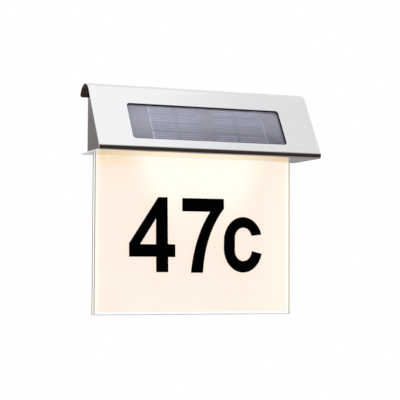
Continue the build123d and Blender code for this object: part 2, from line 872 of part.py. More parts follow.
with BuildPart() as switch_slider:
    with BuildSketch(Plane.XZ.offset(cover_thickness + slider_gap)):
        with Locations((slider_x, switch_z)):
            Rectangle(foot_width, foot_height)
    extrude(amount=foot_thickness)
    with BuildSketch(Plane.XZ.offset(knob_recess)):
        with Locations((slider_x, switch_z)):
            Rectangle(knob_width, knob_height)
        # two grooves for a fingernail
        with Locations((slider_x - groove_x, switch_z), (slider_x + groove_x, switch_z)):
            Rectangle(knob_groove, knob_height, mode=Mode.SUBTRACT)
    extrude(amount=groove_depth)
    with BuildSketch(Plane.XZ.offset(knob_recess + groove_depth)):
        with Locations((slider_x, switch_z)):
            Rectangle(knob_width, knob_height)
    extrude(amount=cover_thickness + slider_gap - knob_recess - groove_depth)

# ---------------------------------------------------------------- control board
with BuildPart() as control_board:
    with BuildSketch(Plane.XZ.offset(control_back)):
        with Locations((control_x, control_z)):
            Rectangle(control_width, control_height)
    extrude(amount=board_thickness)
    with BuildSketch(Plane.XZ.offset(control_back)):
        with Locations(*control_post_places):
            small_round(small_screw_r + hole_clearance)
    extrude(amount=board_thickness, mode=Mode.SUBTRACT)

control_board_screws = screws(
    [away_from_wall(x, control_front, z) for x, z in control_post_places],
    small_screw_r,
    small_head_r,
    head_crown * small_head_r,
    small_head_height,
    control_front - pad_depth - contact_thickness,
)

with BuildPart() as controller_chip:
    with BuildSketch(Plane.XZ.offset(control_front)):
        with Locations((control_x + chip_place[0], control_z + chip_place[1])):
            Rectangle(chip_size, chip_size)
    extrude(amount=chip_thickness)

choke_x = control_x + choke_place[0]
choke_z = control_z + choke_place[1]

with BuildPart() as choke_coil:
    with BuildSketch(Plane.XZ.offset(control_front)):
        with Locations((choke_x, choke_z)):
            small_round(choke_core_r)
    extrude(amount=choke_length)
    for depth in (control_front, control_front + choke_length - choke_flange):
        with BuildSketch(Plane.XZ.offset(depth)):
            with Locations((choke_x, choke_z)):
                small_round(choke_r)
        extrude(amount=choke_flange)

with BuildPart() as board_capacitors:
    with BuildSketch(Plane.XZ.offset(control_front)):
        with Locations(*[(control_x + x, control_z + z) for x, z in capacitor_places]):
            small_round(capacitor_r)
    extrude(amount=capacitor_length)


# ---------------------------------------------------------------- leads
def lead(points):
    """An insulated lead along straight runs joined by arcs."""
    start = Vector(*points[0])
    with BuildPart() as wire:
        with BuildLine() as route:
            if len(points) > 2:
                FilletPolyline(*points, radius=lead_bend_r)
            else:
                Line(*points)
        with BuildSketch(Plane(origin=start, z_dir=Vector(*points[1]) - start)):
            RegularPolygon(lead_r, lead_sides)
        sweep(path=route.line)
    return wire


led_lead_y = plate_mid_y - led_lead_offset
led_lead_end_z = control_z - led_pad_drop
module_back = board_plane.offset(-board_thickness)
terminal_tip_y = -switch_front - terminal_tip
well_front_y = -well_back - lead_r


def solar_lead(x):
    """A lead from the back of the module, through the tray, to the control board."""
    start = module_back.from_local_coords((x, solar_lead_rise, 0))
    turn = module_back.from_local_coords((x, solar_lead_rise, -solar_lead_run))
    end = (x, -control_front, turn.Z)
    return lead([tuple(start), tuple(turn), end])


def led_lead(x):
    """A lead from the LED board up to the control board."""
    return lead(
        [
            (x, led_lead_y, led_board_top_z),
            (x, led_lead_y, led_lead_end_z),
            (x, -control_front, led_lead_end_z),
        ]
    )


solar_lead_red = solar_lead(control_x - lead_spread)
solar_lead_black = solar_lead(control_x + lead_spread)
led_lead_red = led_lead(control_x + led_pads[0])
led_lead_black = led_lead(control_x + led_pads[1])
battery_lead_red = lead(
    [
        (tag_tip_x, tag_y, cell_z),
        (control_x + battery_pad, tag_y, cell_z),
        (control_x + battery_pad, -control_front, cell_z),
    ]
)
battery_lead_black = lead(
    [
        (-tag_tip_x, tag_y, cell_z),
        (switch_x + terminal_x, tag_y, cell_z),
        (switch_x + terminal_x, terminal_tip_y, cell_z),
    ]
)
switch_lead = lead(
    [
        (switch_x - terminal_x, terminal_tip_y, switch_z),
        (switch_x - terminal_x, well_front_y, switch_z),
        (control_x + switch_pad, well_front_y, switch_z),
        (control_x + switch_pad, -control_front, switch_z),
    ]
)

# ---------------------------------------------------------------- write the pieces
pieces = {
    "hood": hood,
    "housing": housing,
    "window_gasket": window_gasket,
    "module_cover": module_cover,
    "solar_cells": solar_cells,
    "module_board": module_board,
    "hood_washers": hood_washers,
    "hood_nuts": hood_nuts,
    "light_plate": light_plate,
    "reflector_film": reflector_film,
    "plate_seal": plate_seal,
    "plate_washers": plate_washers,
    "plate_screws": plate_screws,
    "led_board": led_board,
    "leds": leds,
    "led_board_screws": led_board_screws,
    "back_cover": back_cover,
    "cover_gasket": cover_gasket,
    "cover_screws": cover_screws,
    "battery_cell": battery_cell,
    "battery_sleeve": battery_sleeve,
    "positive_contact": positive_contact,
    "negative_contact": negative_contact,
    "battery_door": battery_door,
    "door_gasket": door_gasket,
    "door_screws": door_screws,
    "switch_body": switch_body,
    "switch_terminals": switch_terminals,
    "switch_slider": switch_slider,
    "control_board": control_board,
    "controller_chip": controller_chip,
    "choke_coil": choke_coil,
    "board_capacitors": board_capacitors,
    "control_board_screws": control_board_screws,
    "solar_lead_red": solar_lead_red,
    "solar_lead_black": solar_lead_black,
    "led_lead_red": led_lead_red,
    "led_lead_black": led_lead_black,
    "battery_lead_red": battery_lead_red,
    "battery_lead_black": battery_lead_black,
    "switch_lead": switch_lead,
}
for label, piece in pieces.items():
    piece.part.label = label
    export_step(piece.part, f"parts/{label}.step")
    print(f"{label}: {len(piece.part.solids())} solid(s), {piece.part.volume:.0f} mm3")
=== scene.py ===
# %% [markdown]
# # A solar house-number light in Blender
# The light hangs on a wall: a folded, brushed steel hood with a solar window, and under it a clear plate
# that is lit from its top edge and carries a plain black number. The solid model comes ready made and
# stays as it is. This lesson gives it a camera, light and finishes, and adds the stick-on figures.

# %% Load the solid model
from math import copysign, cos, pi, radians, sin

import bpy
from mathutils import Matrix, Vector


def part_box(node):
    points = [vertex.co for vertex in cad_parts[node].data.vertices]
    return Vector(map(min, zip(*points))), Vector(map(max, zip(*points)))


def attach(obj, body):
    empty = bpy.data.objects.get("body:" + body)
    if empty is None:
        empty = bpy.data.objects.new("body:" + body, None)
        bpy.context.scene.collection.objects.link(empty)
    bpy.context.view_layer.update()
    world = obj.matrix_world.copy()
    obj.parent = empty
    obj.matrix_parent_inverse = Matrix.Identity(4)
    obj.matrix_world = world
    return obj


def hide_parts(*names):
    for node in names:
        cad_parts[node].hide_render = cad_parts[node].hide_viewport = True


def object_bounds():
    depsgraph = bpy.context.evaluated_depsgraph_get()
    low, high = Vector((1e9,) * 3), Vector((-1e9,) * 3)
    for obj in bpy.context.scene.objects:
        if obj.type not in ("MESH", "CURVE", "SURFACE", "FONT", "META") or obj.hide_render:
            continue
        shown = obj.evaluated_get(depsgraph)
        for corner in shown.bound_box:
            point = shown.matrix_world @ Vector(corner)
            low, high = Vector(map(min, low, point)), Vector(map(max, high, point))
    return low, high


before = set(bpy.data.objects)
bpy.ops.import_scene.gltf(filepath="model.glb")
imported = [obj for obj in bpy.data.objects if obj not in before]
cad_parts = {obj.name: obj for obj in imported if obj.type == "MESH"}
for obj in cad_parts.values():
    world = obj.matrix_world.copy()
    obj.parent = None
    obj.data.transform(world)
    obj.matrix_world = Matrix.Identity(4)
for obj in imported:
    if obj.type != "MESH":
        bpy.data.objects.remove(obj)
solid_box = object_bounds()
scene = bpy.context.scene
print("solid model, lowest and highest corner:", [[round(v, 4) for v in corner] for corner in solid_box])

# %% [markdown]
# The model is in metres: X runs along the hood, Z is up, the wall is the plane Y = 0, and the origin lies
# on it midway between the two keyholes. Small things are easier to write in millimetres, so one value
# turns them to metres.

# %% Units and places on the object
MM = 0.001
plate_low, plate_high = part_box("light_plate")
film_low, film_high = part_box("reflector_film")
hood_low, hood_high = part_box("hood")
cell_low, cell_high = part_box("solar_cells")
plate_shoulder_z = hood_low[2]
print("plate width in mm:", round((plate_high[0] - plate_low[0]) / MM, 1))

# %% [markdown]
# ## Camera
# The photograph looks at the light from its left and slightly from below. A long lens keeps the
# hood's edges nearly parallel. The camera is built from three angles, a distance and the point that it
# looks at, so that it can be read and changed by hand: where it stands round the object, how high, its
# roll, and how far away.

# %% Camera
LENS_MM = 118.1
SENSOR_MM = 36.0
CAMERA_AZIMUTH = radians(-22.0)
CAMERA_ELEVATION = radians(-3.26)
CAMERA_ROLL = radians(0.26)
CAMERA_DISTANCE = 1.1507
CAMERA_TARGET = Vector((0.0006, -0.025, -0.0676))

towards_camera = Vector((
    sin(CAMERA_AZIMUTH) * cos(CAMERA_ELEVATION),
    -cos(CAMERA_AZIMUTH) * cos(CAMERA_ELEVATION),
    sin(CAMERA_ELEVATION),
))
camera_data = bpy.data.cameras.new("camera")
camera_data.lens = LENS_MM
camera_data.sensor_width = SENSOR_MM
camera = bpy.data.objects.new("camera", camera_data)
scene.collection.objects.link(camera)
upright = towards_camera.to_track_quat("Z", "Y").to_matrix().to_4x4()
camera.matrix_world = (
    Matrix.Translation(CAMERA_TARGET + towards_camera * CAMERA_DISTANCE)
    @ upright
    @ Matrix.Rotation(CAMERA_ROLL, 4, "Z")
)
scene.camera = camera
print("camera stands at:", [round(v, 3) for v in camera.matrix_world.translation])

# %% [markdown]
# ## Colours
# Colours are read off as sRGB hex values, the way a paint program shows them, but shaders count light,
# so one function turns them to linear values. A second one makes such a colour darker or lighter.

# %% Colour helpers
def srgb(code):
    """Linear RGBA of an sRGB hex colour such as 'c8c8c8'."""
    channels = [int(code[i : i + 2], 16) / 255 for i in (0, 2, 4)]
    return [c / 12.92 if c <= 0.04045 else ((c + 0.055) / 1.055) ** 2.4 for c in channels] + [1.0]


def shade(code, times, plus=0.0):
    """The same, with each channel multiplied and a little added."""
    return [min(1.0, c * times + plus) for c in srgb(code)[:3]] + [1.0]


print("middle grey, linear:", [round(v, 3) for v in srgb("808080")])

# %% [markdown]
# ## Nodes
# One small function adds any node to a material, sets it up and plugs its inputs in, which keeps each
# material short enough to read. An input is given a value, an output, or a whole node, which stands for
# the first of its outputs that is in use. Finishes are built up like paint: a base tone, then coats, each
# laid on by a mask that is 1 where the coat covers and 0 where it doesn't. Blender's Mix node has inputs
# for every kind of value; 0 is the factor, and 6 and 7 are the two colours.

# %% Node helpers
def plug(node, inputs):
    """Give a node's inputs, by name or number, a value or a link."""
    for name, value in inputs.items():
        if isinstance(value, bpy.types.Node):
            value = next(output for output in value.outputs if output.enabled)
        if isinstance(value, bpy.types.NodeSocket):
            node.id_data.links.new(value, node.inputs[name])
        else:
            node.inputs[name].default_value = value


def add(tree, kind, inputs=None, **settings):
    """Add a node with its settings and its inputs."""
    node = tree.nodes.new("ShaderNode" + kind)
    for name, value in settings.items():
        setattr(node, name, value)
    plug(node, inputs or {})
    return node


def paint(tree, tone, *coats):
    """Lay coats over a tone; each is a mask and a colour."""
    for mask, colour in coats:
        tone = add(tree, "Mix", {0: mask, 6: tone, 7: colour}, data_type="RGBA")
    return tone


def new_material(name, **sockets):
    """A material with one Principled shader; sockets are set on it by name, with _ for a space."""
    material = bpy.data.materials.new(name)
    material.use_nodes = True
    shader = material.node_tree.nodes["Principled BSDF"]
    plug(shader, {socket.replace("_", " "): value for socket, value in sockets.items()})
    return material, material.node_tree, shader


def dress(material, *node_names):
    """Give a finish to whole nodes of the solid model."""
    for name in node_names:
        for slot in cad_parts[name].material_slots:
            slot.material = material


print("nodes of the solid model:", len(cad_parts))

# %% [markdown]
# Patterns follow the object's own position. The solid model's points are in metres, so the position is
# multiplied by 1000, and every pattern below is then written in real millimetres.

# %% Position in millimetres
def position_mm(tree, stretch=(1.0, 1.0, 1.0)):
    """The object's own position in millimetres, squeezed by stretch along each axis."""
    place = add(tree, "TexCoord").outputs["Object"]
    scale = tuple(s / MM for s in stretch)
    return add(tree, "VectorMath", {0: place, 1: scale}, operation="MULTIPLY")


print("pattern units in a metre:", 1 / MM)

# %% [markdown]
# The hood's slope, the window in it and the solar module behind lie in one tilted plane. Measured from
# the window's middle, a point in that plane is so many millimetres along the hood and so many up the
# slope. The clear cover is centred on the window, so its own points give that middle.

# %% Directions on the slope
slope_rise = cell_high[2] - cell_low[2]
slope_run = cell_high[1] - cell_low[1]
slope_length_mm = (slope_rise**2 + slope_run**2) ** 0.5 / MM
UP_SLOPE = Vector((0.0, slope_run, slope_rise)).normalized()
OUT_OF_SLOPE = Vector((0.0, -slope_rise, slope_run)).normalized()
cover_points = [v.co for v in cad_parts["module_cover"].data.vertices]
heights = [UP_SLOPE.dot(point) for point in cover_points]
window_middle_mm = (min(heights) + max(heights)) / 2 / MM
cover_front_mm = max(OUT_OF_SLOPE.dot(point) for point in cover_points) / MM
print("window's middle, mm up the slope:", round(window_middle_mm, 2))


def slope_place(tree):
    """Millimetres along the hood and up the slope, from the window's middle."""
    place = position_mm(tree)
    along = add(tree, "SeparateXYZ", {0: place}).outputs["X"]
    up = add(tree, "VectorMath", {0: place, 1: UP_SLOPE}, operation="DOT_PRODUCT")
    rise = add(tree, "Math", {0: up, 1: window_middle_mm}, operation="SUBTRACT")
    return along, rise


# %% [markdown]
# ## The hood: brushed stainless steel
# The sheet was brushed along its length with a fine abrasive belt, then folded. Only the outside was
# brushed. Inside the roll the sheet is painted dark brown, found by its distance from the roll's axis: this
# is painted shade, for the shadow inside the curl and the dark it mirrors. On the tight fold the steel
# mirrors the dark ground in front of a house. A white studio has no dark ground, so a dark brown band with
# soft edges is painted along the outside of the fold.

# %% The roll and the fold
SHEET_MM = 1.0
ROLL_R_MM = 14.5
FOLD_R_MM = 3.0
FOLD_SKIN_MM = 0.25
FOLD_DARK_DROP_MM = 0.55
FOLD_DARK_HALF_MM = 1.82
FOLD_DARK_SOFT_MM = 0.55
roll_axis = (0.0, -ROLL_R_MM, hood_high[2] / MM - ROLL_R_MM)
fold_axis = (0.0, hood_low[1] / MM + FOLD_R_MM, hood_low[2] / MM + FOLD_R_MM)


def from_axis(tree, axis):
    """Millimetres from an axis that runs along the hood."""
    across_hood = {0: position_mm(tree), 1: (0.0, 1.0, 1.0)}
    across_hood = add(tree, "VectorMath", across_hood, operation="MULTIPLY")
    return add(tree, "VectorMath", {0: across_hood, 1: axis}, operation="DISTANCE")


def roll_inside_shade(tree):
    """1 nearer to the roll's axis than the middle of its sheet, where shade is painted."""
    sheet_middle = ROLL_R_MM - SHEET_MM / 2
    return add(tree, "Math", {0: from_axis(tree, roll_axis), 1: sheet_middle}, operation="LESS_THAN")


def fold_band(tree):
    """1 in a band along the outside of the fold, a little below the height of its axis."""
    skin = {0: from_axis(tree, fold_axis), 1: FOLD_R_MM, 2: FOLD_SKIN_MM}
    outside = add(tree, "Math", skin, operation="COMPARE")
    height = add(tree, "SeparateXYZ", {0: position_mm(tree)}).outputs["Z"]
    middle = fold_axis[2] - FOLD_DARK_DROP_MM
    height = add(tree, "Math", {0: height, 1: middle}, operation="SUBTRACT")
    height = add(tree, "Math", {0: height}, operation="ABSOLUTE")
    dark_to = FOLD_DARK_HALF_MM - FOLD_DARK_SOFT_MM
    bright_from = FOLD_DARK_HALF_MM + FOLD_DARK_SOFT_MM
    band = add(tree, "MapRange", {0: height, 1: dark_to, 2: bright_from, 3: 1.0, 4: 0.0})
    return add(tree, "Math", {0: outside, 1: band}, operation="MULTIPLY")


print("roll's and fold's axis in mm:", [round(v, 2) for v in roll_axis + fold_axis])

# %% [markdown]
# The window was cut with a laser. Painted shade lies on the cut: a dark band inside the window's outline and
# a little way round it, for the cut's walls and the gap behind them. It is widest at the right and at the
# top, where the camera looks onto those walls, so the outline it follows is moved that way.

# %% The cut round the window
WINDOW_MM = (142.0, 37.0)
WINDOW_CORNER_MM = 2.5
CUT_SHADE_MM = 0.35
CUT_DRIFT_MM = (0.25, 0.15, 0.0)
CUT_REACH_MM = 3.0


def window_cut_shade(tree):
    """1 on the window's cut edge and the painted shade round it."""
    along, rise = slope_place(tree)
    place = add(tree, "CombineXYZ", {0: along, 1: rise})
    place = add(tree, "VectorMath", {0: place, 1: CUT_DRIFT_MM}, operation="SUBTRACT")
    place = add(tree, "VectorMath", {0: place}, operation="ABSOLUTE")
    # a rounded rectangle is all that lies within its corner radius of a smaller, sharp one
    straight = tuple(size / 2 - WINDOW_CORNER_MM for size in WINDOW_MM) + (0.0,)
    place = add(tree, "VectorMath", {0: place, 1: straight}, operation="SUBTRACT")
    place = add(tree, "VectorMath", {0: place, 1: (0.0, 0.0, 0.0)}, operation="MAXIMUM")
    distance = add(tree, "VectorMath", {0: place}, operation="LENGTH")
    cut_r = WINDOW_CORNER_MM + CUT_SHADE_MM
    within = add(tree, "Math", {0: distance, 1: cut_r}, operation="LESS_THAN")
    # only near the slope, because other parts of the sheet lie behind the window's outline
    out = add(tree, "VectorMath", {0: position_mm(tree), 1: OUT_OF_SLOPE}, operation="DOT_PRODUCT")
    near_slope = add(tree, "Math", {0: out, 1: cover_front_mm, 2: CUT_REACH_MM}, operation="COMPARE")
    return add(tree, "Math", {0: within, 1: near_slope}, operation="MULTIPLY")


print("window in mm:", WINDOW_MM)

# %% [markdown]
# Steel is a metal, so it has no colour of its own but tints what it mirrors, and the brush marks blur that
# mirror image. Real marks are about 0.1 mm apart, too fine for this picture, so they are drawn 0.6 mm
# apart, 60 times as long as they are wide. They change roughness and tilt the surface a little; a slow
# cloud over 40 mm keeps the large slope from looking like plastic.

# %% Brushed steel
BRUSH_SPACING_MM = 0.6
BRUSH_LENGTH = 60.0
BRUSH_DEPTH_MM = 0.02
CLOUD_MM = 40.0
CLOUD_STRETCH = (0.4, 1.0, 1.0)
# most of a noise's values lie between these two
NOISE_LOW = 0.3
NOISE_HIGH = 0.7


def brushed_steel():
    material, tree, shader = new_material("brushed_stainless_steel", Metallic=1.0)
    across = 1 / BRUSH_SPACING_MM
    place = position_mm(tree, (across / BRUSH_LENGTH, across, across))
    marks = add(tree, "TexNoise", {"Vector": place, "Scale": 1.0, "Detail": 2.0})
    place = position_mm(tree, CLOUD_STRETCH)
    cloud = add(tree, "TexNoise", {"Vector": place, "Scale": 1 / CLOUD_MM, "Detail": 1.0})
    tone = paint(
        tree, srgb("d3d4d6"),
        (marks, srgb("e5e6e7")),
        (cloud, srgb("dddee0")),
        (fold_band(tree), srgb("3a2e2a")),
        # painted shade inside the roll
        (roll_inside_shade(tree), srgb("6b5b52")),
        # painted shade on the window's cut edge
        (window_cut_shade(tree), srgb("1d1a1a")),
    )
    roughness = add(tree, "MapRange", {0: marks, 1: NOISE_LOW, 2: NOISE_HIGH, 3: 0.20, 4: 0.25})
    bump = add(tree, "Bump", {"Height": marks, "Strength": 0.022, "Distance": BRUSH_DEPTH_MM * MM})
    plug(shader, {"Base Color": tone, "Roughness": roughness, "Normal": bump})
    return material


dress(brushed_steel(), "hood")
print("brush marks per mm:", round(1 / BRUSH_SPACING_MM, 2))

# %% [markdown]
# ## The housing: moulded ABS with a spark-eroded texture
# The mould was eroded to a fine matt grain, which the plastic copies, so the surface scatters light and
# hides scratches. ABS has an IOR near 1.54. The grain is about 0.15 mm; it is drawn at 0.5 mm. Faint upright
# bands, 7 mm apart, show where the plastic shrank over the ribs behind. Towards the roof the end panels are
# painted paler: a painted highlight for the sky they catch.

# %% Moulded plastic
GRAIN_MM = 0.5
GRAIN_DEPTH_MM = 0.05
PALER_FROM_Z_MM = 2.0
PALER_TO_Z_MM = 26.0
# a wave texture's bands lie pi / 10 of its scale apart
RIB_SPACING_MM = 22.0 * pi / 10


def moulded_abs(name, colour, banding=0.0):
    material, tree, shader = new_material(name, Roughness=0.55, IOR=1.54)
    place = position_mm(tree)
    dark = shade(colour, 0.82)
    grain = add(tree, "TexNoise", {"Vector": place, "Scale": 1 / GRAIN_MM, "Detail": 3.0})
    bands = {"Vector": place, "Scale": pi / 10 / RIB_SPACING_MM, "Distortion": 1.5}
    bands = add(tree, "TexWave", bands, bands_direction="Y").outputs["Fac"]
    shrunk = add(tree, "Math", {0: bands, 1: banding}, operation="MULTIPLY")
    high = add(tree, "SeparateXYZ", {0: place}).outputs["Z"]
    # painted highlight: paler towards the roof, where the panels catch more sky
    sky_highlight = add(tree, "MapRange", {0: high, 1: PALER_FROM_Z_MM, 2: PALER_TO_Z_MM, 3: 0.0, 4: banding})
    tone = paint(tree, dark, (grain, srgb(colour)), (shrunk, dark), (sky_highlight, srgb("a39c9c")))
    bump = add(tree, "Bump", {"Height": grain, "Strength": 0.25, "Distance": GRAIN_DEPTH_MM * MM})
    plug(shader, {"Base Color": tone, "Normal": bump})
    return material


dress(moulded_abs("grained_abs_warm_grey", "6b5e5e", banding=0.5), "housing")
dress(moulded_abs("grained_abs_cover", "7c7070"), "back_cover", "battery_door")
print("ABS grain drawn at", GRAIN_MM, "mm")

# %% [markdown]
# ## The light plate: cast acrylic
# The plate is clear cast acrylic, IOR 1.49. Light goes in at its top edge, runs down inside and leaves where
# the film behind it scatters it forward. Its two large faces are as clear as glass. Its side and bottom
# edges were polished with a flame, which leaves a soft satin: they scatter the light that reaches them and
# glow faintly. A greyer line is painted along the front and the rear of each edge: painted shade, for the
# darker look of those parts of the edge.

# %% The plate's edges
CHAMFER_MM = 0.4
EDGE_SKIN_MM = 0.05
FRONT_LINE_MM = 2.1
REAR_LINE_MM = 3.2
PAST_REAR_MM = 1.0


def satin_edge(tree):
    """1 on the plate's side and bottom edges, and 1 along the painted shade lines at their front and rear,
    both by position.
    """
    place = add(tree, "SeparateXYZ", {0: position_mm(tree)}).outputs
    aside = add(tree, "Math", {0: place["X"]}, operation="ABSOLUTE")
    # the masks begin on the small chamfers
    skin = CHAMFER_MM - EDGE_SKIN_MM
    edge_x = plate_high[0] / MM - skin
    edge_z = plate_low[2] / MM + skin
    side = add(tree, "Math", {0: aside, 1: edge_x}, operation="GREATER_THAN")
    foot = add(tree, "Math", {0: place["Z"], 1: edge_z}, operation="LESS_THAN")
    satin = add(tree, "Math", {0: side, 1: foot}, operation="MAXIMUM")
    # the photograph sees the left edge from outside and the right one through the plate, where the
    # front line looks twice as wide and the rear one can't be seen
    right = add(tree, "Math", {0: place["X"], 1: edge_x}, operation="GREATER_THAN")
    first = plate_low[1] / MM + FRONT_LINE_MM
    first = add(tree, "Math", {0: right, 1: FRONT_LINE_MM, 2: first}, operation="MULTIPLY_ADD")
    last = plate_high[1] / MM - REAR_LINE_MM
    moved = REAR_LINE_MM + PAST_REAR_MM
    last = add(tree, "Math", {0: right, 1: moved, 2: last}, operation="MULTIPLY_ADD")
    after = add(tree, "Math", {0: place["Y"], 1: first}, operation="GREATER_THAN")
    before = add(tree, "Math", {0: place["Y"], 1: last}, operation="LESS_THAN")
    strip = add(tree, "Math", {0: after, 1: before}, operation="MULTIPLY")
    line = add(tree, "Math", {0: satin, 1: strip}, operation="SUBTRACT", use_clamp=True)
    return satin, line


print("plate height in mm:", round((plate_high[2] - plate_low[2]) / MM, 1))

# %% Cast acrylic
FLOW_MM = 35.0
EDGE_CLEAR = 0.1
EDGE_ROUGHNESS = 0.5
EDGE_GLOW = 0.5
TONGUE_HALF_MM = 79.5
SHOULDER_GLOW_MM = 0.5


def shoulder_leak(tree):
    """1 on the shoulders' upper edges, beside the plate's tongue, where light leaks out too."""
    place = add(tree, "SeparateXYZ", {0: position_mm(tree)}).outputs
    aside = add(tree, "Math", {0: place["X"]}, operation="ABSOLUTE")
    outer = add(tree, "Math", {0: aside, 1: TONGUE_HALF_MM}, operation="GREATER_THAN")
    shoulder = {0: place["Z"], 1: plate_shoulder_z / MM, 2: SHOULDER_GLOW_MM}
    upper = add(tree, "Math", shoulder, operation="COMPARE")
    return add(tree, "Math", {0: outer, 1: upper}, operation="MULTIPLY")


def cast_acrylic():
    material, tree, shader = new_material("cast_acrylic_clear", IOR=1.49)
    flow = add(tree, "TexNoise", {"Vector": position_mm(tree), "Scale": 1 / FLOW_MM, "Detail": 1.0})
    satin, line = satin_edge(tree)
    # the greyer line is painted shade on the edge
    edge = paint(tree, srgb("f0eee6"), (line, srgb("a4a496")))
    tone = paint(tree, srgb("fdfefd"), (flow, srgb("ffffff")), (satin, edge))
    clear = add(tree, "MapRange", {0: satin, 1: 0.0, 2: 1.0, 3: 1.0, 4: EDGE_CLEAR})
    roughness = add(tree, "MapRange", {0: satin, 1: 0.0, 2: 1.0, 3: 0.0, 4: EDGE_ROUGHNESS})
    glow = add(tree, "Math", {0: satin, 1: line}, operation="SUBTRACT", use_clamp=True)
    glow = add(tree, "Math", {0: glow, 1: EDGE_GLOW}, operation="MULTIPLY")
    leak = shoulder_leak(tree)
    tint = paint(tree, srgb("fff8ec"), (leak, srgb("f0d8b0")))
    leak = add(tree, "Math", {0: leak, 1: EDGE_GLOW / 2}, operation="MULTIPLY")
    glow = add(tree, "Math", {0: glow, 1: leak}, operation="MAXIMUM")
    plug(shader, {"Base Color": tone, "Transmission Weight": clear, "Roughness": roughness})
    plug(shader, {"Emission Color": tint, "Emission Strength": glow})
    return material


dress(cast_acrylic(), "light_plate")
print("plate's edges glow at", EDGE_GLOW)

# %% [markdown]
# ## The film behind the plate
# A white diffuse film, 0.25 mm thick, is bonded to the plate's back, so light that would stay trapped in
# the plate reaches it. Two flat faces at the same depth would flicker, so this lesson's own sheet starts
# a twentieth of a millimetre inside the plate. It reaches 1.3 mm further to the right than the solid
# model's, and a low tab runs up behind the plate's tongue, into the notch of the hood.

# %% Film mesh
FILM_BOND_MM = 0.05
FILM_EXTRA_MM = 1.3
FILM_BEVEL_MM = 0.05
TAB_RISE_MM = 0.9
SHOULDER_GAP_MM = 0.02


def mesh_object(name, points, faces):
    """A new object in the scene, with a mesh of these points and faces."""
    mesh = bpy.data.meshes.new(name)
    mesh.from_pydata(points, [], faces)
    made = bpy.data.objects.new(name, mesh)
    scene.collection.objects.link(made)
    return made


def flat_sheet(name, outline, front, back):
    """A flat sheet with an outline in X and Z, counter-clockwise from the front, between two depths."""
    count = len(outline)
    points = [(x, y, z) for y in (front, back) for x, z in outline]
    sides = [(i, i + count, (i + 1) % count + count, (i + 1) % count) for i in range(count)]
    faces = [tuple(range(count)), tuple(range(2 * count - 1, count - 1, -1))]
    return mesh_object(name, points, faces + sides)


film_left, film_foot = film_low[0], film_low[2]
film_right = film_high[0] + FILM_EXTRA_MM * MM
shoulder_top = plate_shoulder_z - SHOULDER_GAP_MM * MM
tab_half = TONGUE_HALF_MM * MM
tab_top = plate_shoulder_z + TAB_RISE_MM * MM
film = flat_sheet(
    "film_sheet",
    [
        (film_left, film_foot), (film_right, film_foot), (film_right, shoulder_top),
        (tab_half, shoulder_top), (tab_half, tab_top), (-tab_half, tab_top),
        (-tab_half, shoulder_top), (film_left, shoulder_top),
    ],
    film_low[1] - FILM_BOND_MM * MM,
    film_high[1],
)
bevel = film.modifiers.new("rounded corners", "BEVEL")
bevel.width = FILM_BEVEL_MM * MM
bevel.segments = 1
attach(film, "light")
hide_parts("reflector_film")
film_size_mm = [(film_right - film_left) / MM, (tab_top - film_foot) / MM]
print("film sheet, width and height with its tab in mm:", [round(v, 1) for v in film_size_mm])

# %% [markdown]
# The film's glow is painted by position, on an even warm cream. A brighter pool lies under the four
# lamps, with its middle 6 mm to the right; it narrows as it goes down, and fades out. The top corners
# are out of the lamps' reach and duller, the left one most. Light that bounces off the plate's left edge
# whitens the film's last few millimetres, and the right edge sends a little of it back further in.

# %% The pool of light and what lies round it
LAMP_REACH_MM = 62.0
POOL_MIDDLE_MM = 6.0
POOL_DEPTH_MM = 84.0
POOL_FOOT_MM = 20.0
POOL_SOFT_MM = 14.0
CORNER_FROM_MM = 2.0
CORNER_TO_MM = 12.0
CORNER_SIDE_MM = 85.0
LEFT_RIM_X_MM = (-90.0, -86.0)
RIGHT_LIFT_X_MM = (66.0, 82.0)
RIGHT_LIFT = 0.35


def pool_and_corners(tree, across, depth):
    """Two masks by place on the film: the lamps' pool, and the dull corners beside it."""
    soft = {"interpolation_type": "SMOOTHSTEP"}
    narrowing = {0: depth, 1: 0.0, 2: POOL_DEPTH_MM, 3: LAMP_REACH_MM, 4: POOL_FOOT_MM}
    half_width = add(tree, "MapRange", narrowing)
    from_middle = add(tree, "Math", {0: across, 1: POOL_MIDDLE_MM}, operation="SUBTRACT")
    from_middle = add(tree, "Math", {0: from_middle}, operation="ABSOLUTE")
    past = add(tree, "Math", {0: from_middle, 1: half_width}, operation="SUBTRACT")
    inside = add(tree, "MapRange", {0: past, 1: -POOL_SOFT_MM, 2: POOL_SOFT_MM, 3: 1.0, 4: 0.0}, **soft)
    fading = add(tree, "MapRange", {0: depth, 1: 0.0, 2: POOL_DEPTH_MM, 3: 1.0, 4: 0.0}, **soft)
    pool = add(tree, "Math", {0: inside, 1: fading}, operation="MULTIPLY")
    corner = add(tree, "MapRange", {0: depth, 1: CORNER_FROM_MM, 2: CORNER_TO_MM, 3: 1.0, 4: 0.0}, **soft)
    outside = add(tree, "Math", {0: 1.0, 1: inside}, operation="SUBTRACT")
    dull = add(tree, "Math", {0: corner, 1: outside}, operation="MULTIPLY")
    leftness = {0: across, 1: -CORNER_SIDE_MM, 2: CORNER_SIDE_MM, 3: 1.0, 4: 0.0}
    dull = add(tree, "Math", {0: dull, 1: add(tree, "MapRange", leftness)}, operation="MULTIPLY")
    return pool, dull


def white_rims(tree, across):
    """1 at the film's left end, and a share of that towards its right end."""
    start, end = LEFT_RIM_X_MM
    left = add(tree, "MapRange", {0: across, 1: start, 2: end, 3: 1.0, 4: 0.0})
    start, end = RIGHT_LIFT_X_MM
    right = add(tree, "MapRange", {0: across, 1: start, 2: end, 3: 0.0, 4: RIGHT_LIFT})
    return add(tree, "Math", {0: left, 1: right}, operation="MAXIMUM")


print("pool of light, half width and depth in mm:", LAMP_REACH_MM, POOL_DEPTH_MM)

# %% Film finish
FILM_GLOW = 0.87


